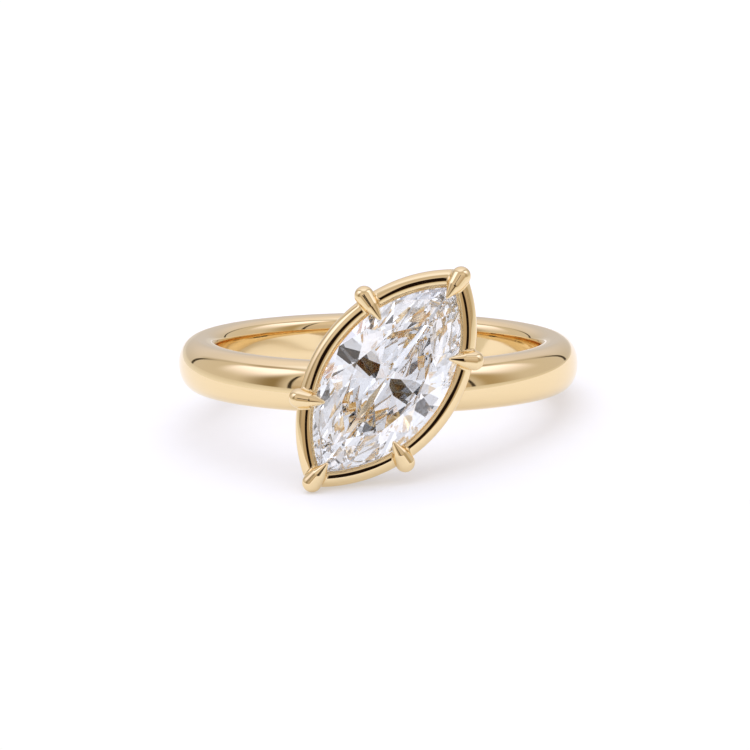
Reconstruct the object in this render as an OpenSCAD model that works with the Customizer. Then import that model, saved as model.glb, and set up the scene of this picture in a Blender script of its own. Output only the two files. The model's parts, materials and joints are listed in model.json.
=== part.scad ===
// Marquise pinky ring: a plain domed gold band that carries a six-claw marquise head.
// Millimetres, +Z up. The ring lies on its side as it comes to rest by itself, with the
// head towards -Y, and the origin is at the middle of the bottom of its box.

/* [Band] */
// Inside diameter of the band, the finger size
finger_d = 15.7; // [15.2:0.1:16.2]
// Thickness of the band, from the finger outwards
band_t = 1.87; // [1.7:0.01:2]
// Width of the band, along the finger
band_w = 2.5; // [2.2:0.1:2.8]
// Fullness of the domed outside: 2 is an ellipse, more is squarer
band_fullness = 2.1; // [2:0.05:2.6]
// Length of the straight wall in the middle of the inside
bore_l = 0.6; // [0.4:0.1:0.8]
// Fullness of the inside from there to the edges: more is flatter, with a tighter corner
comfort_fullness = 3.5; // [3:0.1:4.5]

/* [Stone] */
// Length of the marquise stone, tip to tip
stone_l = 11.05; // [10.9:0.05:11.15]
// Width of the marquise stone
stone_w = 5.65; // [5.55:0.05:5.75]
// Thickness of the girdle, the stone's edge
girdle_t = 0.16; // [0.12:0.02:0.2]
// Height of the crown, from the girdle to the table
crown_h = 0.73; // [0.6:0.01:0.8]
// Depth of the pavilion, from the girdle to the point
pavilion_h = 2.3; // [2.1:0.05:2.35]
// Size of the table, as a share of the stone
table_share = 0.62; // [0.55:0.01:0.66]

/* [Head] */
// Height of the stone's edge above the ring's axis
girdle_r = 10.55; // [10.5:0.05:10.8]
// Turn of the stone's long axis away from the finger's direction
head_turn = 35.7; // [30:0.1:42]
// Shift of the head along the finger, off the middle of the band
head_shift = 0.67; // [0.5:0.01:0.75]
// Diameter of the rim wire round the stone
rim_d = 0.94; // [0.9:0.02:1]
// Depth of the rim wire's middle below the stone's edge
rim_drop = 0.4; // [0.38:0.01:0.45]
// Distance of the rim wire's middle outside the stone's edge
rim_out = 0.34; // [0.32:0.01:0.4]
// Diameter of the lower gallery wire
gallery_d = 0.72; // [0.6:0.02:0.8]
// Depth of the gallery wire's middle below the stone's edge
gallery_drop = 1.85; // [1.8:0.01:1.9]
// How far the gallery wire's middle lies inside the rim wire's
gallery_in = 0.75; // [0.6:0.05:0.85]

/* [Claws] */
// Diameter of a claw's round knuckle
knuckle_d = 0.96; // [0.9:0.02:1]
// Diameter of a claw's rounded point
point_d = 0.16; // [0.12:0.02:0.2]
// Distance from the middle of the knuckle to the end of the point
claw_reach = 1.35; // [1.3:0.01:1.4]
// Height of the claws' points above the stone's edge
point_h = 0.48; // [0.46:0.01:0.56]
// Distance of the side knuckles' middles outside the rim wire's middle
knuckle_out = 0.46; // [0.42:0.01:0.48]
// Distance of the tip knuckles' middles from the stone's centre
tip_knuckle_u = 6.17; // [6.12:0.01:6.22]
// Place along the stone of the lower right side claw
lower_claw_u = 2.77; // [2.6:0.01:3]
// Place along the stone of the upper left side claw
upper_claw_u = 2.69; // [2.6:0.01:3]
// How much further out the upper left claw starts, and how much longer it is
upper_claw_extra = 0.12; // [0:0.01:0.15]
// Place along the stone of the other two side claws
far_claw_u = 3.2; // [3:0.01:3.3]
// How far a side claw turns from square to the rim towards the stone's centre
claw_lean = 4; // [0:1:6]
// How far the upper left claw turns in the same way
upper_claw_lean = -1; // [-4:1:6]
// Diameter of a claw's post where it leaves the knuckle
post_top_d = 0.84; // [0.8:0.02:0.86]
// Diameter of a claw's post at the gallery wire
post_foot_d = 0.66; // [0.6:0.02:0.7]

/* [Fit] */
// Seat cut for the stone, as a multiple of the stone's size
seat_scale = 1.012; // [1.01:0.001:1.014]

/* [Rest] */
// How far the head is raised where the ring lies on its side
rest_tilt = 9.03; // [8:0.01:10]
// How far the left of the ring is raised where it lies on its side
rest_roll = 4.8; // [4:0.01:6]
// Distance from the middle of the box to the ring's centre
centre_back = 0.98; // [0.9:0.01:1.2]

/* [Hidden] */
$fn = 96;
gold_colour = [0.86, 0.70, 0.40];
stone_colour = [0.90, 0.93, 0.97];

finger_r = finger_d / 2;
band_mid_r = finger_r + band_t / 2;
dome_step = 10;
inside_step = 10;
knuckle_steps = 8;
point_steps = 4;

// The outline of a marquise is two equal arcs that meet at the tips.
half_l = stone_l / 2;
half_w = stone_w / 2;
arc_r = (half_l ^ 2 + half_w ^ 2) / stone_w;
arc_back = arc_r - half_w;

rim_arc_r = arc_r + rim_out;
gallery_arc_r = rim_arc_r - gallery_in;
knuckle_arc_r = rim_arc_r + knuckle_out;
// Each arc of wire is swept a little past the tips and cut back to the mitre.
wire_sweep = 132;
mitre_block = 30;

// Facets: where the eight main facets meet the girdle, by the direction that they face,
// 0 across the stone and 90 along it, with the girdle points between them.
mains = [0, 30, 90, 150, 180, 210, 270, 330];
between = [15, 44, 136, 165, 195, 224, 316, 345];
facet_count = len(mains);
star_share = 0.5;
lower_half_share = 0.78;

// The point of the outline that faces direction a, as [across, along]. A direction past
// the ends of the arcs faces a tip.
function outline(a) =
    abs(sin(a)) > half_l / arc_r ? [0, half_l * sign(sin(a))] :
    [arc_r * cos(a) - arc_back * sign(cos(a)), arc_r * sin(a)];

// Distance from the centre of the outline's tangent that faces direction a.
function tangent_at(a) = outline(a) * [cos(a), sin(a)];

// Where the tangents of two neighbouring main facets cross.
function crossing(a, b) =
    let (p = tangent_at(a), q = tangent_at(b))
    [p * sin(b) - q * sin(a), q * cos(a) - p * cos(b)] / sin(b - a);

function at_height(p, h) = [p.x, p.y, h];

table_h = girdle_t + crown_h;
star_size = 1 - (1 - table_share) * star_share;
lower_half_size = 1 - lower_half_share;

crown_points = [for (i = [0:facet_count - 1])
    let (x = crossing(mains[i], mains[(i + 1) % facet_count]), g = outline(mains[i]))
    each [
        at_height(g * table_share, table_h),
        at_height(x * star_size, girdle_t + crown_h * star_share),
        at_height(g, girdle_t),
        at_height(outline(between[i]), girdle_t),
    ]];
pavilion_points = [for (i = [0:facet_count - 1])
    let (x = crossing(mains[i], mains[(i + 1) % facet_count]))
    each [
        at_height(x * lower_half_size, -pavilion_h * lower_half_share),
        at_height(outline(mains[i]), 0),
        at_height(outline(between[i]), 0),
    ]];
stone_points = concat(crown_points, pavilion_points, [[0, 0, -pavilion_h]]);

// Side claws: which side of the stone, where the knuckle lies along it, the lean, and how
// much further out the claw starts.
side_claws = [
    [1, far_claw_u, claw_lean, 0],
    [1, -lower_claw_u, -claw_lean, 0],
    [-1, upper_claw_u, upper_claw_lean, upper_claw_extra],
    [-1, -far_claw_u, -claw_lean, 0],
];
tip_claws = [1, -1];

// The ring's own frame has +Z along the finger and the head at -Y. The head's own frame
// has +Z out of the stone's table, +Y along the stone and +X across it.
module on_head() {
    translate([0, -girdle_r, head_shift])
        rotate([90, 0, 0])
            rotate([0, 0, -head_turn])
                children();
}

// Lowest point of the ring is the knuckle of the lower tip claw.
low_knuckle = [
    -tip_knuckle_u * sin(head_turn),
    -girdle_r,
    head_shift - tip_knuckle_u * cos(head_turn),
];
function turn_x(p, a) = [p.x, p.y * cos(a) - p.z * sin(a), p.y * sin(a) + p.z * cos(a)];
function turn_y(p, a) = [p.x * cos(a) + p.z * sin(a), p.y, p.z * cos(a) - p.x * sin(a)];
rest_lift = knuckle_d / 2 - turn_y(turn_x(low_knuckle, -rest_tilt), rest_roll).z;

module at_rest() {
    translate([0, centre_back, rest_lift])
        rotate([0, rest_roll, 0])
            rotate([-rest_tilt, 0, 0])
                children();
}

// A round rod from a to b, in the head's frame.
module rod(a, b, d_a, d_b) {
    run = b - a;
    translate(a)
        rotate([0, acos(run.z / norm(run)), atan2(run.y, run.x)])
            cylinder(h = norm(run), d1 = d_a, d2 = d_b);
}

// Half of a marquise of round wire: one arc, mitred where the two arcs meet.
module half_wire(path_r, wire_d) {
    intersection() {
        translate([-arc_back, 0, 0])
            rotate([0, 0, -wire_sweep / 2])
                rotate_extrude(angle = wire_sweep)
                    translate([path_r, 0])
                        circle(d = wire_d);
        translate([0, -mitre_block / 2, -mitre_block / 2])
            cube(mitre_block);
    }
}

module marquise_wire(path_r, wire_d, drop) {
    translate([0, 0, -drop]) {
        half_wire(path_r, wire_d);
        rotate([0, 0, 180])
            half_wire(path_r, wire_d);
    }
}

// The section of the band: straight bore that curves out to the edges, and a domed outside.
module band_section() {
    dome = [for (a = [-90:dome_step:90]) [
        band_mid_r + band_t / 2 * pow(cos(a), 2 / band_fullness),
        band_w / 2 * sign(a) * pow(abs(sin(a)), 2 / band_fullness),
    ]];
    inside = [for (a = [90 + inside_step:inside_step:180]) [
        band_mid_r - band_t / 2 * pow(-cos(a), 2 / comfort_fullness),
        bore_l / 2 + (band_w - bore_l) / 2 * pow(sin(a), 2 / comfort_fullness),
    ]];
    lower_inside = [for (i = [len(inside) - 1:-1:0]) [inside[i].x, -inside[i].y]];
    polygon(concat(dome, inside, lower_inside));
}

module band() {
    rotate_extrude()
        band_section();
}

// One claw: a round knuckle that draws out to a point, turned about its own axis.
module claw_body(reach) {
    knuckle_r = knuckle_d / 2;
    point_r = point_d / 2;
    run = reach - point_r;
    meet = acos((knuckle_r - point_r) / run);
    back = [for (i = [0:knuckle_steps]) let (a = 180 - (180 - meet) * i / knuckle_steps)
        [knuckle_r * sin(a), knuckle_r * cos(a)]];
    point = [for (i = [0:point_steps]) let (a = meet * (1 - i / point_steps))
        [point_r * sin(a), run + point_r * cos(a)]];
    rotate_extrude()
        polygon(concat(back, point));
}

// A claw over the stone's edge with the post that carries it, knuckle at p, pointing in
// direction a, and its foot on the gallery wire.
module claw(p, a, foot, reach) {
    rise = asin(point_h / (reach - point_d / 2));
    translate(p)
        rotate([0, 90 - rise, a])
            claw_body(reach);
    rod(p, foot, post_top_d, post_foot_d);
}

module side_claw(side, u, lean, extra) {
    path_r = knuckle_arc_r + extra;
    a = asin(u / path_r);
    p = [side * (path_r * cos(a) - arc_back), u, 0];
    foot = [side * (gallery_arc_r * cos(a) - arc_back), gallery_arc_r * sin(a), -gallery_drop];
    claw(p, side > 0 ? 180 + a + lean : -a - lean, foot, claw_reach + extra);
}

module tip_claw(end) {
    gallery_half_l = sqrt(gallery_arc_r ^ 2 - arc_back ^ 2);
    foot = [0, end * gallery_half_l, -gallery_drop];
    claw([0, end * tip_knuckle_u, 0], -90 * end, foot, claw_reach);
}

module claws() {
    for (c = side_claws) side_claw(c[0], c[1], c[2], c[3]);
    for (end = tip_claws) tip_claw(end);
}

module stone_body() {
    hull()
        polyhedron(stone_points, [[for (i = [0:len(stone_points) - 1]) i]]);
}

// Band, rim, gallery and claws are soldered into one piece, with a seat cut for the stone.
module ring_mount() {
    color(gold_colour)
        at_rest()
            difference() {
                union() {
                    band();
                    on_head() {
                        marquise_wire(rim_arc_r, rim_d, rim_drop);
                        marquise_wire(gallery_arc_r, gallery_d, gallery_drop);
                        claws();
                    }
                }
                on_head()
                    scale(seat_scale)
                        stone_body();
            }
}

module marquise_stone() {
    color(stone_colour)
        at_rest()
            on_head()
                stone_body();
}

ring_mount();
marquise_stone();
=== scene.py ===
"""Looks of the marquise pinky ring: polished gold band and claw head, cut stone, pale studio.

Shapes are made in the ring's and the head's own frames, in millimetres, and then placed
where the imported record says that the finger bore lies.
"""

import json
import math
from types import SimpleNamespace

import bmesh
import bpy
import numpy as np
from mathutils import Matrix, Vector


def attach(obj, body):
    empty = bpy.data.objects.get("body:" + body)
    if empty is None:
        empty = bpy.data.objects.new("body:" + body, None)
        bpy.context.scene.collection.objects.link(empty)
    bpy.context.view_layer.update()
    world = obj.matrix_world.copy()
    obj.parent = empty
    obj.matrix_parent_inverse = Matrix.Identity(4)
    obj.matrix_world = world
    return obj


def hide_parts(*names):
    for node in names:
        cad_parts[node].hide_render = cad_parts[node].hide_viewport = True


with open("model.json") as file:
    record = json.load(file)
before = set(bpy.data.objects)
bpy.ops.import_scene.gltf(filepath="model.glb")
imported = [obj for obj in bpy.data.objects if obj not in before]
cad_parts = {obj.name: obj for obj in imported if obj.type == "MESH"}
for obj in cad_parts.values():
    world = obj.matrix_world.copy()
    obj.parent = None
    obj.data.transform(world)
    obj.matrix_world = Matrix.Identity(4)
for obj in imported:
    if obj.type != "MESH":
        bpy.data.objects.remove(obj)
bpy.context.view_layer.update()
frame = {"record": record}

# Sizes are in millimetres and angles in degrees, unless a comment says otherwise.
MM = 0.001

# Band. The bore comes from the record's mount.
BORE = frame["record"]["mounts"][0]
FINGER_R = BORE["dims"]["r_mm"]
BORE_L = 0.6
BAND_T = 1.87
BAND_W = 2.5
BAND_FULLNESS = 2.1
COMFORT_FULLNESS = 3.5
BAND_MID_R = FINGER_R + BAND_T / 2
BAND_STEPS = 288
DOME_STEP = 3
INSIDE_STEP = 3

# Stone
STONE_L = 11.05
STONE_W = 5.65
GIRDLE_T = 0.16
CROWN_H = 0.73
PAVILION_H = 2.3
TABLE_SHARE = 0.62
STAR_SHARE = 0.5
LOWER_HALF_SHARE = 0.78
SEAT_SCALE = 1.012
GIRDLE_STEPS = 40

# Order of the stone's two finishes
POLISHED = 0
FROSTED = 1

# Head: how far the stone's girdle lies from the finger's axis, how far the stone is turned,
# how far the head sits off the middle of the band, and its two wires
GIRDLE_R = 10.55
HEAD_TURN = 35.7
HEAD_SHIFT = 0.67
RIM_D = 0.94
RIM_DROP = 0.4
RIM_OUT = 0.34
GALLERY_D = 0.72
GALLERY_DROP = 1.85
GALLERY_IN = 0.75

# Claws. A place along the stone ends in _U.
KNUCKLE_D = 0.96
POINT_D = 0.16
CLAW_REACH = 1.35
POINT_H = 0.48
CLAW_BODY_D = 0.78
CLAW_BODY_AT = 0.42
KNUCKLE_OUT = 0.46
TIP_KNUCKLE_U = 6.17
LOWER_CLAW_U = 2.77
UPPER_CLAW_U = 2.69
UPPER_CLAW_EXTRA = 0.12
FAR_CLAW_U = 3.2
CLAW_LEAN = 4
UPPER_CLAW_LEAN = -1
POST_TOP_D = 0.84
POST_FOOT_D = 0.66

# Side claws: side, place along the stone, lean of the point, extra length
SIDE_CLAWS = [
    (1, FAR_CLAW_U, CLAW_LEAN, 0),
    (1, -LOWER_CLAW_U, -CLAW_LEAN, 0),
    (-1, UPPER_CLAW_U, UPPER_CLAW_LEAN, UPPER_CLAW_EXTRA),
    (-1, -FAR_CLAW_U, -CLAW_LEAN, 0),
]

# Solder fillet between wire and claw, and how finely the head's mesh is made
FILLET = 0.12
GRAIN = 0.055
WIRE_SIDES = 24
WIRE_STEPS = 64
ROD_SIDES = 32
BALL_SPLITS = 3
SMOOTH_PASSES = 4
PULLS = 3
SMOOTH_SHARE = 0.5

# Step for measuring a slope. A face belongs to a shape if it lies this near to it and
# faces its way by at least this cosine.
PROBE = 0.0005
ON_SHAPE = 0.004
ALONG_SHAPE = 0.5

# Stone's mesh: distances under which arc ends are one, corners are one, an edge is a sliver
# and a point lies on a cutting plane, and the lean under which a face counts as upright
SAME_ARC_END = 1e-4
SAME_CORNER = 1e-3
SLIVER = 1e-4
PLANE_SNAP = 1e-6
UPRIGHT = 1e-3

# The outline of a marquise is two equal arcs that meet at the tips.
HALF_L = STONE_L / 2
HALF_W = STONE_W / 2
ARC_R = (HALF_L ** 2 + HALF_W ** 2) / STONE_W
ARC_BACK = ARC_R - HALF_W
RIM_ARC_R = ARC_R + RIM_OUT
GALLERY_ARC_R = RIM_ARC_R - GALLERY_IN
KNUCKLE_ARC_R = RIM_ARC_R + KNUCKLE_OUT

# The head's wires: radius of the arcs, thickness, and depth below the girdle's lower edge
WIRES = [
    (RIM_ARC_R, RIM_D, RIM_DROP),
    (GALLERY_ARC_R, GALLERY_D, GALLERY_DROP),
]

# Directions that the main facets face, 0 across the stone and 90 along it, with the
# girdle points between them.
MAINS = [0, 30, 90, 150, 180, 210, 270, 330]
BETWEEN = [15, 44, 136, 165, 195, 224, 316, 345]

# The ring's own frame has +Z along the finger and the head at -Y. The head's own frame
# has +Z out of the stone's table, +Y along the stone and +X across it.
AXIS = Vector(BORE["axis"])
REST_TILT = math.asin(AXIS.y)
REST_ROLL = math.atan2(AXIS.x, AXIS.z)
RING_PLACE = (
    Matrix.Translation(Vector(BORE["pos_m"]))
    @ Matrix.Rotation(REST_ROLL, 4, "Y")
    @ Matrix.Rotation(-REST_TILT, 4, "X")
    @ Matrix.Scale(MM, 4)
)
HEAD_ON_RING = (
    Matrix.Translation((0, -GIRDLE_R, HEAD_SHIFT))
    @ Matrix.Rotation(math.radians(90), 4, "X")
    @ Matrix.Rotation(math.radians(-HEAD_TURN), 4, "Z")
)
HEAD_PLACE = RING_PLACE @ HEAD_ON_RING

# Camera, as the photograph sees the ring: angles are to the ring's own frame.
VIEW_UP = 8.0
VIEW_TURN = 2.15
PIXELS = 750
PIXELS_PER_MM = 20.53
BORE_PIXEL = (378.27, 362.77)
CAMERA_AWAY = 1200

# Sizes of what the materials show. All but the growth of the stone are finer on the real
# ones, and are drawn as coarse as they need to be to show at all.
WHEEL_MARKS = 1.5
STONE_GROWTH = 2.5
GIRDLE_BITE = 0.15
BOARD_TOOTH = 2
DIAMOND_IOR = 2.417

# Light of the studio, as linear colours with white at 1
SIDE_WALL = (0.7, 0.66, 0.64)
FRONT_WALL = (0.67, 0.6, 0.56)
FRONT_MIDDLE = (0.8, 0.73, 0.7)
FRONT_FOOT = (0.56, 0.46, 0.36)
LEFT_PILLAR = (0.3, 0.235, 0.14)
RIGHT_PILLAR = (0.47, 0.385, 0.262)
SOFT_BOX = (1.5, 1.52, 1.97)
GAP = (0.5, 0.44, 0.4)
BACKDROP_FOOT = (0.66, 0.63, 0.63)
BACKDROP_MIDDLE = (0.79, 0.77, 0.855)
BACKDROP_TOP = (0.965, 0.94, 1.055)
BACKDROP_EDGE = (0.58, 0.54, 0.52)
BACKDROP_SLIT = (0.06, 0.05, 0.04)
CEILING = (1.12, 1.17, 1.42)
UPRIGHT_EDGE = (0.05, 0.04, 0.03)
TABLE_EDGE = (0.78, 0.755, 0.74)
TABLE = (0.96, 0.955, 1.0)
REAR_TABLE = (0.72, 0.69, 0.67)
CAMERA_DARK = (0.012, 0.006, 0.004)
PAST_THE_BOARD = (1.02, 1.02, 1.02)

# How far the studio's edges slant: degrees for each degree, for each degree squared (gap),
# or from the middle to the end of a unit direction (ceiling and table). The table's edge
# also drops in front.
BOX_FRONT_SLANT = 0.56
BOX_TOP_SLANT = 0.65
HOOD_SLANT = 0.75
GAP_LEAN = 0.0108
CEILING_LEAN = 20
TABLE_LEAN = 2.75
FRONT_TABLE_DROP = 9

# Light that the stone gathers: mostly without the studio's browns, and cooler
STONE_LIGHT = (1.32, 1.38, 1.56, 1)
STONE_GREY_SHARE = 0.85

# Board, and lamp in metres and watts
BOARD_R = 30
BOARD_AT = (-2, 6)
BOARD_SIDES = 96
# Painted glow of the board: emission that lightens the shadows on it
BOARD_PAINTED_GLOW = 0.41
LAMP_SIZE = 1.2
LAMP_H = 1
LAMP_POWER = 5

# How often light may turn in the stone and between its facets and the gold
ALL_BOUNCES = 32
STONE_BOUNCES = 24


# Marquise outline

def outline(degrees):
    """The point of the outline that faces a direction. Past the ends of the arcs it is a tip."""
    a = math.radians(degrees)
    if abs(math.sin(a)) > HALF_L / ARC_R:
        return Vector((0, math.copysign(HALF_L, math.sin(a)), 0))
    side = math.copysign(1, math.cos(a))
    return Vector((ARC_R * math.cos(a) - ARC_BACK * side, ARC_R * math.sin(a), 0))


def facing(degrees):
    a = math.radians(degrees)
    return Vector((math.cos(a), math.sin(a), 0))


def crossing(first, second):
    """Where the tangents of two neighbouring main facets cross."""
    p = outline(first).dot(facing(first))
    q = outline(second).dot(facing(second))
    a, b = math.radians(first), math.radians(second)
    across = p * math.sin(b) - q * math.sin(a)
    along = q * math.cos(a) - p * math.cos(b)
    return Vector((across, along, 0)) / math.sin(b - a)


def at_height(point, height):
    return Vector((point.x, point.y, height))


# Facets of the stone, as planes with a point and an outward direction

def plane_through(a, b, c):
    direction = (b - a).cross(c - a).normalized()
    if direction.dot(a) < 0:
        direction.negate()
    return a, direction


def stone_planes():
    table_h = GIRDLE_T + CROWN_H
    star_size = 1 - (1 - TABLE_SHARE) * STAR_SHARE
    star_h = GIRDLE_T + CROWN_H * STAR_SHARE
    low_h = -PAVILION_H * LOWER_HALF_SHARE
    culet = Vector((0, 0, -PAVILION_H))
    planes = [(Vector((0, 0, table_h)), Vector((0, 0, 1)))]
    for i, main in enumerate(MAINS):
        after = MAINS[(i + 1) % len(MAINS)] + (360 if i + 1 == len(MAINS) else 0)
        here, there, middle = outline(main), outline(after), outline(BETWEEN[i])
        meet = crossing(main, after)
        before = crossing(MAINS[i - 1], main)
        star = at_height(meet * star_size, star_h)
        low = at_height(meet * (1 - LOWER_HALF_SHARE), low_h)
        low_before = at_height(before * (1 - LOWER_HALF_SHARE), low_h)
        star_before = at_height(before * star_size, star_h)
        girdle = [at_height(p, GIRDLE_T) for p in (here, middle, there)]
        edge = [at_height(p, 0) for p in (here, middle, there)]
        corner = at_height(here * TABLE_SHARE, table_h)
        next_corner = at_height(there * TABLE_SHARE, table_h)
        planes.append(plane_through(corner, star_before, star))
        planes.append(plane_through(corner, star, next_corner))
        planes.append(plane_through(star, girdle[0], girdle[1]))
        planes.append(plane_through(star, girdle[1], girdle[2]))
        planes.append(plane_through(culet, low_before, low))
        planes.append(plane_through(low, edge[0], edge[1]))
        planes.append(plane_through(low, edge[1], edge[2]))
    return planes


# Mesh helpers

def new_piece(name, bm):
    mesh = bpy.data.meshes.new(name)
    bm.to_mesh(mesh)
    bm.free()
    piece = bpy.data.objects.new(name, mesh)
    bpy.context.scene.collection.objects.link(piece)
    return piece


def settle_modifiers(piece):
    """Makes the piece's modifiers part of its mesh."""
    graph = bpy.context.evaluated_depsgraph_get()
    mesh = bpy.data.meshes.new_from_object(piece.evaluated_get(graph))
    piece.modifiers.clear()
    old = piece.data
    piece.data = mesh
    bpy.data.meshes.remove(old)


def cut_away(piece, cutter):
    cut = piece.modifiers.new("seat", "BOOLEAN")
    cut.operation = "DIFFERENCE"
    cut.solver = "EXACT"
    cut.object = cutter
    settle_modifiers(piece)


def points_of(mesh):
    flat = np.empty(len(mesh.vertices) * 3, np.float32)
    mesh.vertices.foreach_get("co", flat)
    return flat.reshape(-1, 3).astype(float)


def slope(shape, points):
    """A shape's value at points, and the outward direction of its surface there."""
    value = shape(points)
    rise = np.empty_like(points)
    for axis in range(3):
        step = np.zeros(3)
        step[axis] = PROBE
        rise[:, axis] = (shape(points + step) - shape(points - step)) / (2 * PROBE)
    return value, rise


def polish(piece, shape):
    """Gives each face corner that lies on the shape the shape's own direction to shade by,
    and leaves the corners of cut faces flat."""
    mesh = piece.data
    mesh.polygons.foreach_set("use_smooth", [True] * len(mesh.polygons))
    _, rise = slope(shape, points_of(mesh))
    rise /= np.linalg.norm(rise, axis=1, keepdims=True)
    centres = np.array([face.center for face in mesh.polygons])
    level, lean = slope(shape, centres)
    lean /= np.linalg.norm(lean, axis=1, keepdims=True)
    normals = []
    for face in mesh.polygons:
        along_shape = face.normal.dot(lean[face.index]) > ALONG_SHAPE
        on_shape = along_shape and abs(level[face.index]) < ON_SHAPE
        for corner in face.vertices:
            normals.append(rise[corner] if on_shape else face.normal)
    mesh.normals_split_custom_set(normals)


# Band

def band_surface(points):
    """Below zero inside the band, above zero outside, in the ring's frame."""
    radius = np.hypot(points[:, 0], points[:, 1])
    height = np.abs(points[:, 2])
    dome = (np.abs(radius - BAND_MID_R) / (BAND_T / 2)) ** BAND_FULLNESS
    dome = (dome + (height / (BAND_W / 2)) ** BAND_FULLNESS) ** (1 / BAND_FULLNESS)
    dome = (dome - 1) * BAND_T / 2
    inside = (np.abs(radius - BAND_MID_R) / (BAND_T / 2)) ** COMFORT_FULLNESS
    past_bore = np.maximum(height - BORE_L / 2, 0) / ((BAND_W - BORE_L) / 2)
    inside = (inside + past_bore ** COMFORT_FULLNESS) ** (1 / COMFORT_FULLNESS)
    inside = (inside - 1) * BAND_T / 2
    return np.where(radius > BAND_MID_R, dome, inside)


def band_section():
    """Straight bore that curves out to the edges, and a domed outside, as (radius, height)."""
    section = []
    for degrees in range(-90, 91, DOME_STEP):
        a = math.radians(degrees)
        out = max(math.cos(a), 0) ** (2 / BAND_FULLNESS)
        side = math.copysign(abs(math.sin(a)) ** (2 / BAND_FULLNESS), a)
        section.append((BAND_MID_R + BAND_T / 2 * out, BAND_W / 2 * side))
    inside = []
    for degrees in range(90 + INSIDE_STEP, 181, INSIDE_STEP):
        a = math.radians(degrees)
        inwards = abs(math.cos(a)) ** (2 / COMFORT_FULLNESS)
        past_bore = max(math.sin(a), 0) ** (2 / COMFORT_FULLNESS)
        inside.append((BAND_MID_R - BAND_T / 2 * inwards,
                       (BORE_L + (BAND_W - BORE_L) * past_bore) / 2))
    return section + inside + [(r, -z) for r, z in reversed(inside)]


def make_band():
    bm = bmesh.new()
    points = [bm.verts.new((r, 0, z)) for r, z in band_section()]
    lines = [bm.edges.new((points[i - 1], points[i])) for i in range(len(points))]
    bmesh.ops.spin(bm, geom=points + lines, cent=(0, 0, 0), axis=(0, 0, 1),
                   angle=math.tau, steps=BAND_STEPS, use_merge=True)
    bmesh.ops.recalc_face_normals(bm, faces=bm.faces)
    return new_piece("band", bm)


# Stone

def cut_facet(bm, point, direction):
    everything = [*bm.verts, *bm.edges, *bm.faces]
    cut = bmesh.ops.bisect_plane(bm, geom=everything, dist=PLANE_SNAP, plane_co=point,
                                 plane_no=direction, clear_outer=True)
    rim = [e for e in cut["geom_cut"] if isinstance(e, bmesh.types.BMEdge) and e.is_boundary]
    if rim:
        bmesh.ops.edgenet_fill(bm, edges=rim)


def cut_stone(name, planes):
    """A marquise prism that is a little taller than the stone, cut down facet by facet."""
    bm = bmesh.new()
    sweep = 2 * math.asin(HALF_L / ARC_R)
    for side in (1, -1):
        start = bm.verts.new((0, -side * HALF_L, -PAVILION_H - GIRDLE_T))
        bmesh.ops.spin(bm, geom=[start], cent=(-side * ARC_BACK, 0, 0), axis=(0, 0, 1),
                       angle=sweep, steps=GIRDLE_STEPS)
    bmesh.ops.remove_doubles(bm, verts=bm.verts, dist=SAME_ARC_END)
    base = bmesh.ops.edgenet_fill(bm, edges=bm.edges)["faces"]
    raised = bmesh.ops.extrude_face_region(bm, geom=base, use_keep_orig=True)["geom"]
    top = [v for v in raised if isinstance(v, bmesh.types.BMVert)]
    bmesh.ops.translate(bm, verts=top, vec=(0, 0, PAVILION_H + CROWN_H + 3 * GIRDLE_T))
    bmesh.ops.recalc_face_normals(bm, faces=bm.faces)
    for point, direction in planes:
        cut_facet(bm, point, direction)
    bmesh.ops.remove_doubles(bm, verts=bm.verts, dist=SAME_CORNER)
    bmesh.ops.dissolve_degenerate(bm, dist=SLIVER, edges=bm.edges)
    bmesh.ops.recalc_face_normals(bm, faces=bm.faces)
    for face in bm.faces:
        upright = abs(face.normal.z) < UPRIGHT
        face.smooth = upright
        face.material_index = FROSTED if upright else POLISHED
    return new_piece(name, bm)


# Head

def side_claw(side, u, lean, extra):
    """Knuckle of a claw on a long side, the way it points, its post's foot and its reach."""
    path_r = KNUCKLE_ARC_R + extra
    a = math.asin(u / path_r)
    knuckle = Vector((side * (path_r * math.cos(a) - ARC_BACK), u, 0))
    foot = Vector((side * (GALLERY_ARC_R * math.cos(a) - ARC_BACK),
                   GALLERY_ARC_R * math.sin(a), -GALLERY_DROP))
    turn = a + math.radians(lean)
    return knuckle, math.pi + turn if side > 0 else -turn, foot, CLAW_REACH + extra


def tip_claw(end):
    """The same of a claw on a tip."""
    gallery_half_l = math.sqrt(GALLERY_ARC_R ** 2 - ARC_BACK ** 2)
    foot = Vector((0, end * gallery_half_l, -GALLERY_DROP))
    return Vector((0, end * TIP_KNUCKLE_U, 0)), -end * math.pi / 2, foot, CLAW_REACH


def claw_rods():
    """Each claw, in two lengths, and each post, as places and radii of their round ends."""
    rods = []
    places = [side_claw(*place) for place in SIDE_CLAWS] + [tip_claw(1), tip_claw(-1)]
    for knuckle, turn, foot, reach in places:
        flat = math.sqrt((reach - POINT_D / 2) ** 2 - POINT_H ** 2)
        point = knuckle + Vector((flat * math.cos(turn), flat * math.sin(turn), POINT_H))
        body = knuckle.lerp(point, CLAW_BODY_AT)
        rods.append((knuckle, KNUCKLE_D / 2, body, CLAW_BODY_D / 2))
        rods.append((body, CLAW_BODY_D / 2, point, POINT_D / 2))
        rods.append((knuckle, POST_TOP_D / 2, foot, POST_FOOT_D / 2))
    return rods


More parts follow.
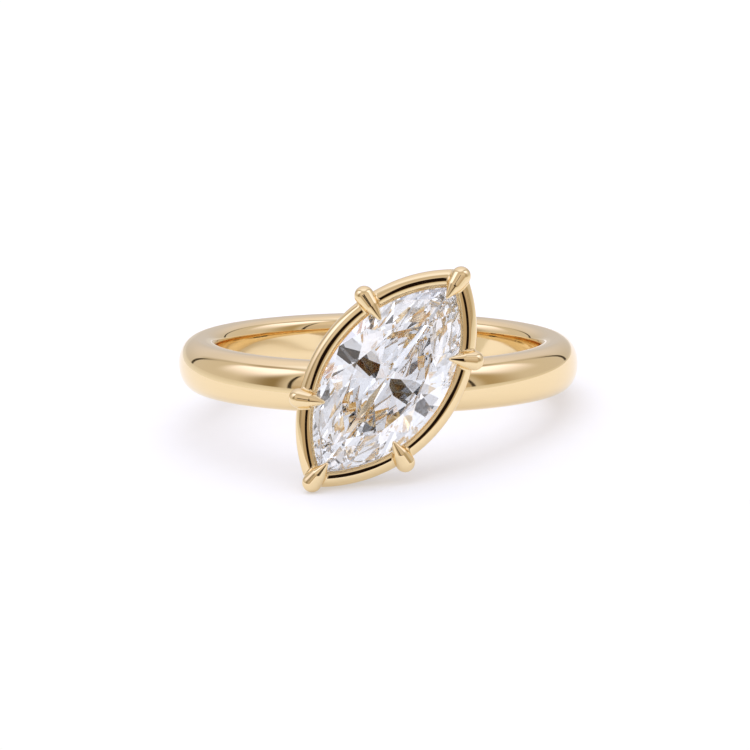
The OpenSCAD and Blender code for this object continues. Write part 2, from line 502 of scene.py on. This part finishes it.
def rod_surface(points, rod):
    """Distance from a rod with round ends of different size."""
    start, start_r, end, end_r = rod
    run = np.array(end - start)
    length2 = run @ run
    taper = start_r - end_r
    inside2 = length2 - taper ** 2
    offset = points - np.array(start)
    along = offset @ run
    beyond = along - length2
    aside2 = ((offset * length2 - np.outer(along, run)) ** 2).sum(1)
    along2 = along ** 2 * length2
    beyond2 = beyond ** 2 * length2
    limit = np.sign(taper) * taper ** 2 * aside2
    middle = (np.sqrt(aside2 * inside2 / length2) + along * taper) / length2 - start_r
    at_end = np.sqrt(aside2 + beyond2) / length2 - end_r
    at_start = np.sqrt(aside2 + along2) / length2 - start_r
    value = np.where(np.sign(along) * inside2 * along2 < limit, at_start, middle)
    return np.where(np.sign(beyond) * inside2 * beyond2 > limit, at_end, value)


def wire_surface(points, side, path_r, wire_d, drop):
    """Distance from one arc of wire."""
    tip = math.acos(ARC_BACK / path_r)
    across = side * points[:, 0] + ARC_BACK
    turn = np.clip(np.arctan2(points[:, 1], across), -tip, tip)
    aside = np.hypot(across - path_r * np.cos(turn), points[:, 1] - path_r * np.sin(turn))
    return np.hypot(aside, points[:, 2] + drop) - wire_d / 2


def soldered(first, second, fillet):
    """The nearer of two surfaces, with a fillet of solder where they meet."""
    share = np.clip(0.5 + 0.5 * (second - first) / fillet, 0, 1)
    return second * (1 - share) + first * share - fillet * share * (1 - share)


def head_surface(points):
    """Below zero inside the head's metal, above zero outside, in the head's frame."""
    wires = None
    for wire in WIRES:
        for side in (1, -1):
            value = wire_surface(points, side, *wire)
            wires = value if wires is None else soldered(wires, value, FILLET / 2)
    rods = [rod_surface(points, rod) for rod in claw_rods()]
    return soldered(wires, np.min(rods, axis=0), FILLET)


def add_ball(bm, place, radius):
    ball = bmesh.ops.create_icosphere(bm, subdivisions=BALL_SPLITS, radius=radius)
    bmesh.ops.translate(bm, verts=ball["verts"], vec=place)


def add_wire(bm, side, path_r, wire_d, drop):
    tip = math.acos(ARC_BACK / path_r)
    circle = bmesh.ops.create_circle(bm, cap_ends=True, segments=WIRE_SIDES, radius=wire_d / 2)
    bmesh.ops.rotate(bm, verts=circle["verts"], matrix=Matrix.Rotation(math.pi / 2, 3, "X"))
    bmesh.ops.translate(bm, verts=circle["verts"], vec=(side * (path_r - ARC_BACK), 0, -drop))
    centre = (-side * ARC_BACK, 0, -drop)
    bmesh.ops.rotate(bm, verts=circle["verts"], cent=centre, matrix=Matrix.Rotation(-tip, 3, "Z"))
    faces = list({face for v in circle["verts"] for face in v.link_faces})
    bmesh.ops.spin(bm, geom=faces, cent=centre, axis=(0, 0, 1), angle=2 * tip,
                   steps=WIRE_STEPS)


def make_head():
    bm = bmesh.new()
    for path_r, wire_d, drop in WIRES:
        half_l = math.sqrt(path_r ** 2 - ARC_BACK ** 2)
        for side in (1, -1):
            add_wire(bm, side, path_r, wire_d, drop)
            add_ball(bm, (0, side * half_l, -drop), wire_d / 2)
    for start, start_r, end, end_r in claw_rods():
        add_ball(bm, start, start_r)
        add_ball(bm, end, end_r)
        turned = (end - start).to_track_quat("Z", "Y").to_matrix().to_4x4()
        bmesh.ops.create_cone(bm, cap_ends=True, segments=ROD_SIDES, radius1=start_r,
                              radius2=end_r, depth=(end - start).length,
                              matrix=Matrix.Translation((start + end) / 2) @ turned)
    bmesh.ops.holes_fill(bm, edges=bm.edges)
    bmesh.ops.recalc_face_normals(bm, faces=bm.faces)
    head = new_piece("claw_head", bm)
    remesh = head.modifiers.new("solder", "REMESH")
    remesh.mode = "VOXEL"
    remesh.voxel_size = GRAIN
    settle_modifiers(head)
    draw_to_surface(head)
    return head


def draw_to_surface(head):
    """Moves each point of the head's mesh on to its exact soldered surface."""
    bm = bmesh.new()
    bm.from_mesh(head.data)
    for _ in range(SMOOTH_PASSES):
        bmesh.ops.smooth_vert(bm, verts=bm.verts, factor=SMOOTH_SHARE,
                              use_axis_x=True, use_axis_y=True, use_axis_z=True)
        points = np.array([v.co for v in bm.verts])
        for _ in range(PULLS):
            value, rise = slope(head_surface, points)
            step = value[:, None] * rise / (rise ** 2).sum(1, keepdims=True)
            points -= np.clip(step, -GRAIN, GRAIN)
        for vert, point in zip(bm.verts, points):
            vert.co = point
    bm.to_mesh(head.data)
    bm.free()


# Materials

# Colour sockets of a Mix node, whose names its other kinds share
MIX_A = 6
MIX_B = 7
MIXED = 2


def linear(colour):
    """sRGB hex to the linear colour that shaders take."""
    parts = [int(colour[i:i + 2], 16) / 255 for i in (0, 2, 4)]
    return [p / 12.92 if p <= 0.04045 else ((p + 0.055) / 1.055) ** 2.4 for p in parts] + [1]


def add_node(tree, kind, inputs=None, **settings):
    """A node with its settings. An input is a value, a socket, or a node whose first
    output it takes."""
    node = tree.nodes.new(kind)
    for name, value in settings.items():
        setattr(node, name, value)
    for socket, value in (inputs or {}).items():
        if isinstance(value, bpy.types.Node):
            value = value.outputs[0]
        if isinstance(value, bpy.types.NodeSocket):
            tree.links.new(value, node.inputs[socket])
        else:
            node.inputs[socket].default_value = value
    return node


def new_material(name):
    material = bpy.data.materials.new(name)
    material.use_nodes = True
    material.node_tree.nodes.clear()
    return material, material.node_tree


def polished_gold():
    """Yellow gold of 14 carats, cast, then polished with rouge: a clean mirror with a faint
    haze of fine wheel marks."""
    material, tree = new_material("polished_gold")
    place = add_node(tree, "ShaderNodeTexCoord").outputs["Object"]
    haze = add_node(tree, "ShaderNodeTexNoise", {"Vector": place, "Detail": 3,
                                                 "Scale": 1 / (WHEEL_MARKS * MM),
                                                 "Roughness": 0.6})
    rough = add_node(tree, "ShaderNodeMapRange", {"Value": haze, "From Min": 0.3, "From Max": 0.7,
                                                  "To Min": 0.03, "To Max": 0.07})
    shader = add_node(tree, "ShaderNodeBsdfPrincipled", {
        "Base Color": linear("F2DAAB"), "Metallic": 1.0, "Roughness": rough})
    add_node(tree, "ShaderNodeOutputMaterial", {"Surface": shader})
    return material


def cut_diamond():
    """Diamond, cut and polished: clear, with a very high index that folds the light, and a
    body that is here and there a trace warmer."""
    material, tree = new_material("cut_diamond")
    place = add_node(tree, "ShaderNodeTexCoord").outputs["Object"]
    growth = add_node(tree, "ShaderNodeTexNoise", {"Vector": place,
                                                   "Scale": 1 / (STONE_GROWTH * MM)})
    tint = add_node(tree, "ShaderNodeMix", {
        "Factor": growth, MIX_A: linear("FFFFFF"), MIX_B: linear("FCFBF9")}, data_type="RGBA")
    shader = add_node(tree, "ShaderNodeBsdfPrincipled", {
        "Base Color": tint.outputs[MIXED], "Transmission Weight": 1.0, "Roughness": 0.0,
        "IOR": DIAMOND_IOR})
    add_node(tree, "ShaderNodeOutputMaterial", {"Surface": shader})
    return material


def bruted_girdle():
    """Diamond girdle, ground round but not polished: a fine frosted edge, of uneven bite."""
    material, tree = new_material("bruted_girdle")
    place = add_node(tree, "ShaderNodeTexCoord").outputs["Object"]
    bite = add_node(tree, "ShaderNodeTexNoise", {"Vector": place,
                                                 "Scale": 1 / (GIRDLE_BITE * MM)})
    rough = add_node(tree, "ShaderNodeMapRange", {"Value": bite, "From Min": 0.3, "From Max": 0.7,
                                                  "To Min": 0.28, "To Max": 0.42})
    shader = add_node(tree, "ShaderNodeBsdfPrincipled", {
        "Base Color": linear("F4F4F6"), "Transmission Weight": 1.0,
        "Roughness": rough, "IOR": DIAMOND_IOR})
    add_node(tree, "ShaderNodeOutputMaterial", {"Surface": shader})
    return material


def glowing_board():
    """White acrylic board: matt, with a painted glow that lightens the shadows on it, so that
    they stay faint."""
    material, tree = new_material("board_painted_glow")
    place = add_node(tree, "ShaderNodeTexCoord").outputs["Object"]
    tooth = add_node(tree, "ShaderNodeTexNoise", {"Vector": place,
                                                  "Scale": 1 / (BOARD_TOOTH * MM)})
    shade = add_node(tree, "ShaderNodeMix", {
        "Factor": tooth, MIX_A: linear("C2C3C6"), MIX_B: linear("C6C7CA")}, data_type="RGBA")
    # The emission is a painted glow, not a lamp: it lightens the shadows on the board
    shader = add_node(tree, "ShaderNodeBsdfPrincipled", {
        "Base Color": shade.outputs[MIXED], "Roughness": 0.8,
        "Emission Color": linear("F7F7FA"), "Emission Strength": BOARD_PAINTED_GLOW})
    add_node(tree, "ShaderNodeOutputMaterial", {"Surface": shader})
    return material


# Studio

def add_area(tree, under, colour, edges):
    """Lays an area of light with soft edges over the light under it. An edge is a direction's
    measure, where the area begins to show and where it shows in full."""
    share = 1.0
    for measure, begins, full in edges:
        edge = add_node(tree, "ShaderNodeMapRange", {
            "Value": measure, "From Min": begins, "From Max": full},
            interpolation_type="SMOOTHSTEP")
        share = add_node(tree, "ShaderNodeMath", {0: share, 1: edge}, operation="MULTIPLY")
    return add_node(tree, "ShaderNodeMix", {"Factor": share, MIX_A: under, MIX_B: (*colour, 1)},
                    data_type="RGBA").outputs[MIXED]


def directions(tree):
    """Measures of the direction that light comes from: how far right and ahead it points, and
    in degrees its turn to the right of the front, that turn to either side, and its height."""
    way = add_node(tree, "ShaderNodeTexCoord").outputs["Generated"]
    part = add_node(tree, "ShaderNodeSeparateXYZ", {0: way}).outputs
    ahead = add_node(tree, "ShaderNodeMath", {0: part[1], 1: -1.0}, operation="MULTIPLY")
    turned = add_node(tree, "ShaderNodeMath", {0: part[0], 1: ahead}, operation="ARCTAN2")
    raised = add_node(tree, "ShaderNodeMath", {0: part[2]}, operation="ARCSINE")
    turn = add_node(tree, "ShaderNodeMath", {0: turned}, operation="DEGREES")
    height = add_node(tree, "ShaderNodeMath", {0: raised}, operation="DEGREES")
    side = add_node(tree, "ShaderNodeMath", {0: turn}, operation="ABSOLUTE")
    return SimpleNamespace(right=part[0], ahead=ahead, turn=turn, side=side, height=height)


def walls(tree, way):
    """Side walls, a wall in front that is paler over its middle and browner at its foot, and
    brown pillars beside it, the left one darker."""
    front = (way.side, 54, 52)
    pillar = [(way.side, 55, 65), (way.side, 95, 66), (way.height, 50, 16)]
    light = add_area(tree, (*SIDE_WALL, 1), FRONT_WALL, [front])
    light = add_area(tree, light, FRONT_MIDDLE, [
        front, (way.height, 18, 30), (way.height, 50, 40)])
    light = add_area(tree, light, FRONT_FOOT, [front, (way.height, 11, 2)])
    light = add_area(tree, light, LEFT_PILLAR, [*pillar, (way.turn, 10, -10)])
    return add_area(tree, light, RIGHT_PILLAR, [*pillar, (way.turn, -10, 10)])


def soft_boxes(tree, way, light):
    """Large soft boxes with slanting edges, cooler and brighter upwards, and the gap
    between them and the backdrop."""
    front_edge = add_node(tree, "ShaderNodeMath", {0: way.height, 1: BOX_FRONT_SLANT,
                                                   2: way.side}, operation="MULTIPLY_ADD")
    top_edge = add_node(tree, "ShaderNodeMath", {0: way.side, 1: BOX_TOP_SLANT,
                                                 2: way.height}, operation="MULTIPLY_ADD")
    light = add_area(tree, light, SOFT_BOX, [
        (front_edge, 78, 98), (way.side, 118, 106), (top_edge, 115, 106),
        (way.height, 60, 52), (way.height, 6, 46)])
    return add_area(tree, light, GAP, [
        (top_edge, 108, 118), (way.height, 38, 50), (way.gap, 152, 142)])


def backdrop(tree, way, light):
    """Backdrop, cooler and paler upwards, with a shaded edge and a dark slit at its foot."""
    behind = (way.gap, 140, 145)
    light = add_area(tree, light, BACKDROP_FOOT, [behind])
    light = add_area(tree, light, BACKDROP_MIDDLE, [behind, (way.height, 0, 22)])
    light = add_area(tree, light, BACKDROP_TOP, [behind, (way.height, 22, 56)])
    light = add_area(tree, light, BACKDROP_EDGE, [
        (way.gap, 133, 140), (way.gap, 150, 141), (way.height, 12, 20), (way.height, 50, 30)])
    return add_area(tree, light, BACKDROP_SLIT, [
        (way.gap, 137.6, 139), (way.gap, 142.4, 141), (way.height, 30, 12)])


def ceiling(tree, way, light):
    """Ceiling, which starts higher in front, and under it the dark upright edges between
    front wall and pillars."""
    rise = add_node(tree, "ShaderNodeMath", {0: way.ahead, 1: -CEILING_LEAN, 2: way.height},
                    operation="MULTIPLY_ADD")
    light = add_area(tree, light, CEILING, [(rise, 56, 72), (way.ahead, -0.4, -0.1)])
    return add_area(tree, light, UPRIGHT_EDGE, [
        (way.side, 52.4, 53.6), (way.side, 56.2, 55), (way.height, 41, 33)])


def far_table(tree, way, light):
    """Table beyond the board. Its far edge lies lower on the right, and lowest in front."""
    drop = add_node(tree, "ShaderNodeMapRange", {
        "Value": way.side, "From Min": 48, "From Max": 30, "To Min": 0,
        "To Max": FRONT_TABLE_DROP}, interpolation_type="SMOOTHSTEP")
    lower = add_node(tree, "ShaderNodeMath", {0: way.height, 1: drop}, operation="ADD")
    table = add_node(tree, "ShaderNodeMath", {0: way.right, 1: TABLE_LEAN, 2: lower},
                     operation="MULTIPLY_ADD")
    light = add_area(tree, light, TABLE_EDGE, [(table, -1.9, -3.9)])
    light = add_area(tree, light, TABLE, [(table, -3, -13)])
    return add_area(tree, light, REAR_TABLE, [
        (way.side, 158, 172), (table, -1.9, -3.9), (way.height, -14, -6)])


def camera_and_stand(tree, way, light):
    """The dark camera in the middle, its hood that leans to the left, and its stand, lower
    on the right."""
    hood = add_node(tree, "ShaderNodeMath", {0: way.turn, 1: HOOD_SLANT, 2: way.height},
                    operation="MULTIPLY_ADD")
    light = add_area(tree, light, CAMERA_DARK, [
        (way.turn, -9, -7), (way.turn, 5, 3), (way.height, 38, 34), (way.height, -6, -4)])
    light = add_area(tree, light, CAMERA_DARK, [
        (way.turn, -27, -24), (way.turn, -5, -7), (way.height, 21, 19), (hood, -4, -2)])
    return add_area(tree, light, CAMERA_DARK, [
        (way.turn, 2, 4), (way.turn, 22, 19), (way.height, 4, 2.5), (way.height, -6, -4)])


def light_by_path(tree, light):
    """The stone gathers a cooler and greyer light than the metal mirrors, and what the camera
    sees past the board is plain."""
    path = add_node(tree, "ShaderNodeLightPath").outputs
    in_stone = add_node(tree, "ShaderNodeMath", {0: path["Is Transmission Ray"],
                                                 1: STONE_GREY_SHARE}, operation="MULTIPLY")
    grey = add_node(tree, "ShaderNodeRGBToBW", {0: light})
    cool = add_node(tree, "ShaderNodeMix", {"Factor": 1.0, MIX_A: grey, MIX_B: STONE_LIGHT},
                    data_type="RGBA", blend_type="MULTIPLY")
    light = add_node(tree, "ShaderNodeMix", {
        "Factor": in_stone, MIX_A: light, MIX_B: cool.outputs[MIXED]},
        data_type="RGBA").outputs[MIXED]
    return add_area(tree, light, PAST_THE_BOARD, [(path["Is Camera Ray"], 0, 1)])


def studio():
    """Soft light round the ring, by the direction that it comes from."""
    world = bpy.data.worlds.new("studio")
    bpy.context.scene.world = world
    world.use_nodes = True
    tree = world.node_tree
    tree.nodes.clear()
    way = directions(tree)
    squared = add_node(tree, "ShaderNodeMath", {0: way.height, 1: way.height},
                       operation="MULTIPLY")
    # The gap beside the backdrop leans forwards as it rises
    way.gap = add_node(tree, "ShaderNodeMath", {0: squared, 1: GAP_LEAN, 2: way.side},
                       operation="MULTIPLY_ADD")
    light = walls(tree, way)
    for layer in (soft_boxes, backdrop, ceiling, far_table, camera_and_stand):
        light = layer(tree, way, light)
    light = light_by_path(tree, light)
    shine = add_node(tree, "ShaderNodeBackground", {"Color": light, "Strength": 1.0})
    add_node(tree, "ShaderNodeOutputWorld", {"Surface": shine})


def add_floor():
    bm = bmesh.new()
    bmesh.ops.create_circle(bm, cap_ends=True, segments=BOARD_SIDES, radius=BOARD_R * MM)
    bmesh.ops.translate(bm, verts=bm.verts, vec=(BOARD_AT[0] * MM, BOARD_AT[1] * MM, 0))
    floor = new_piece("board", bm)
    floor.data.materials.append(glowing_board())


def add_top_light():
    """Large soft light overhead. It lights the board and isn't mirrored in the metal."""
    lamp = bpy.data.lights.new("top_light", "AREA")
    lamp.size = LAMP_SIZE
    lamp.energy = LAMP_POWER
    top = bpy.data.objects.new("top_light", lamp)
    top.location = (0, 0, LAMP_H)
    top.visible_glossy = False
    top.visible_transmission = False
    top.visible_camera = False
    bpy.context.scene.collection.objects.link(top)


def add_camera():
    turn, rise = math.radians(VIEW_TURN), math.radians(VIEW_UP)
    front = Vector((-math.sin(turn), -math.cos(turn), 0))
    right = Vector((math.cos(turn), -math.sin(turn), 0))
    upright = Vector((0, 0, 1))
    back = front * math.cos(rise) + upright * math.sin(rise)
    up = upright * math.cos(rise) - front * math.sin(rise)
    off_right = (PIXELS / 2 - BORE_PIXEL[0]) / PIXELS_PER_MM
    off_up = (BORE_PIXEL[1] - PIXELS / 2) / PIXELS_PER_MM
    target = right * off_right + up * off_up
    place = target + back * CAMERA_AWAY
    turned = RING_PLACE.to_3x3() * (1 / MM)
    axes = Matrix((turned @ right, turned @ up, turned @ back)).transposed()
    camera = bpy.data.objects.new("camera", bpy.data.cameras.new("camera"))
    camera.matrix_world = Matrix.Translation(RING_PLACE @ place) @ axes.to_4x4()
    camera.data.lens = camera.data.sensor_width * CAMERA_AWAY * PIXELS_PER_MM / PIXELS
    bpy.context.scene.collection.objects.link(camera)
    bpy.context.scene.camera = camera


# Pieces, placed in the part's frame

planes = stone_planes()
stone = cut_stone("cut_marquise", planes)
seat = stone.copy()
seat.data = stone.data.copy()
seat.name = "seat_cutter"
seat.data.transform(Matrix.Scale(SEAT_SCALE, 4))
bpy.context.scene.collection.objects.link(seat)

head = make_head()
cut_away(head, seat)
polish(head, head_surface)

band = make_band()
seat.data.transform(HEAD_ON_RING)
cut_away(band, seat)
polish(band, band_surface)
bpy.data.objects.remove(seat)

band.data.transform(RING_PLACE)
head.data.transform(HEAD_PLACE)
stone.data.transform(HEAD_PLACE)

gold = polished_gold()
for piece in (band, head):
    piece.data.materials.clear()
    piece.data.materials.append(gold)
    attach(piece, "root")
    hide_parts("ring_mount")
stone.data.materials.append(cut_diamond())
stone.data.materials.append(bruted_girdle())
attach(stone, "root")
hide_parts("marquise_stone")

studio()
add_floor()
add_top_light()
add_camera()

scene = bpy.context.scene
scene.view_settings.view_transform = "Standard"
scene.cycles.max_bounces = ALL_BOUNCES
scene.cycles.glossy_bounces = STONE_BOUNCES
scene.cycles.transmission_bounces = STONE_BOUNCES
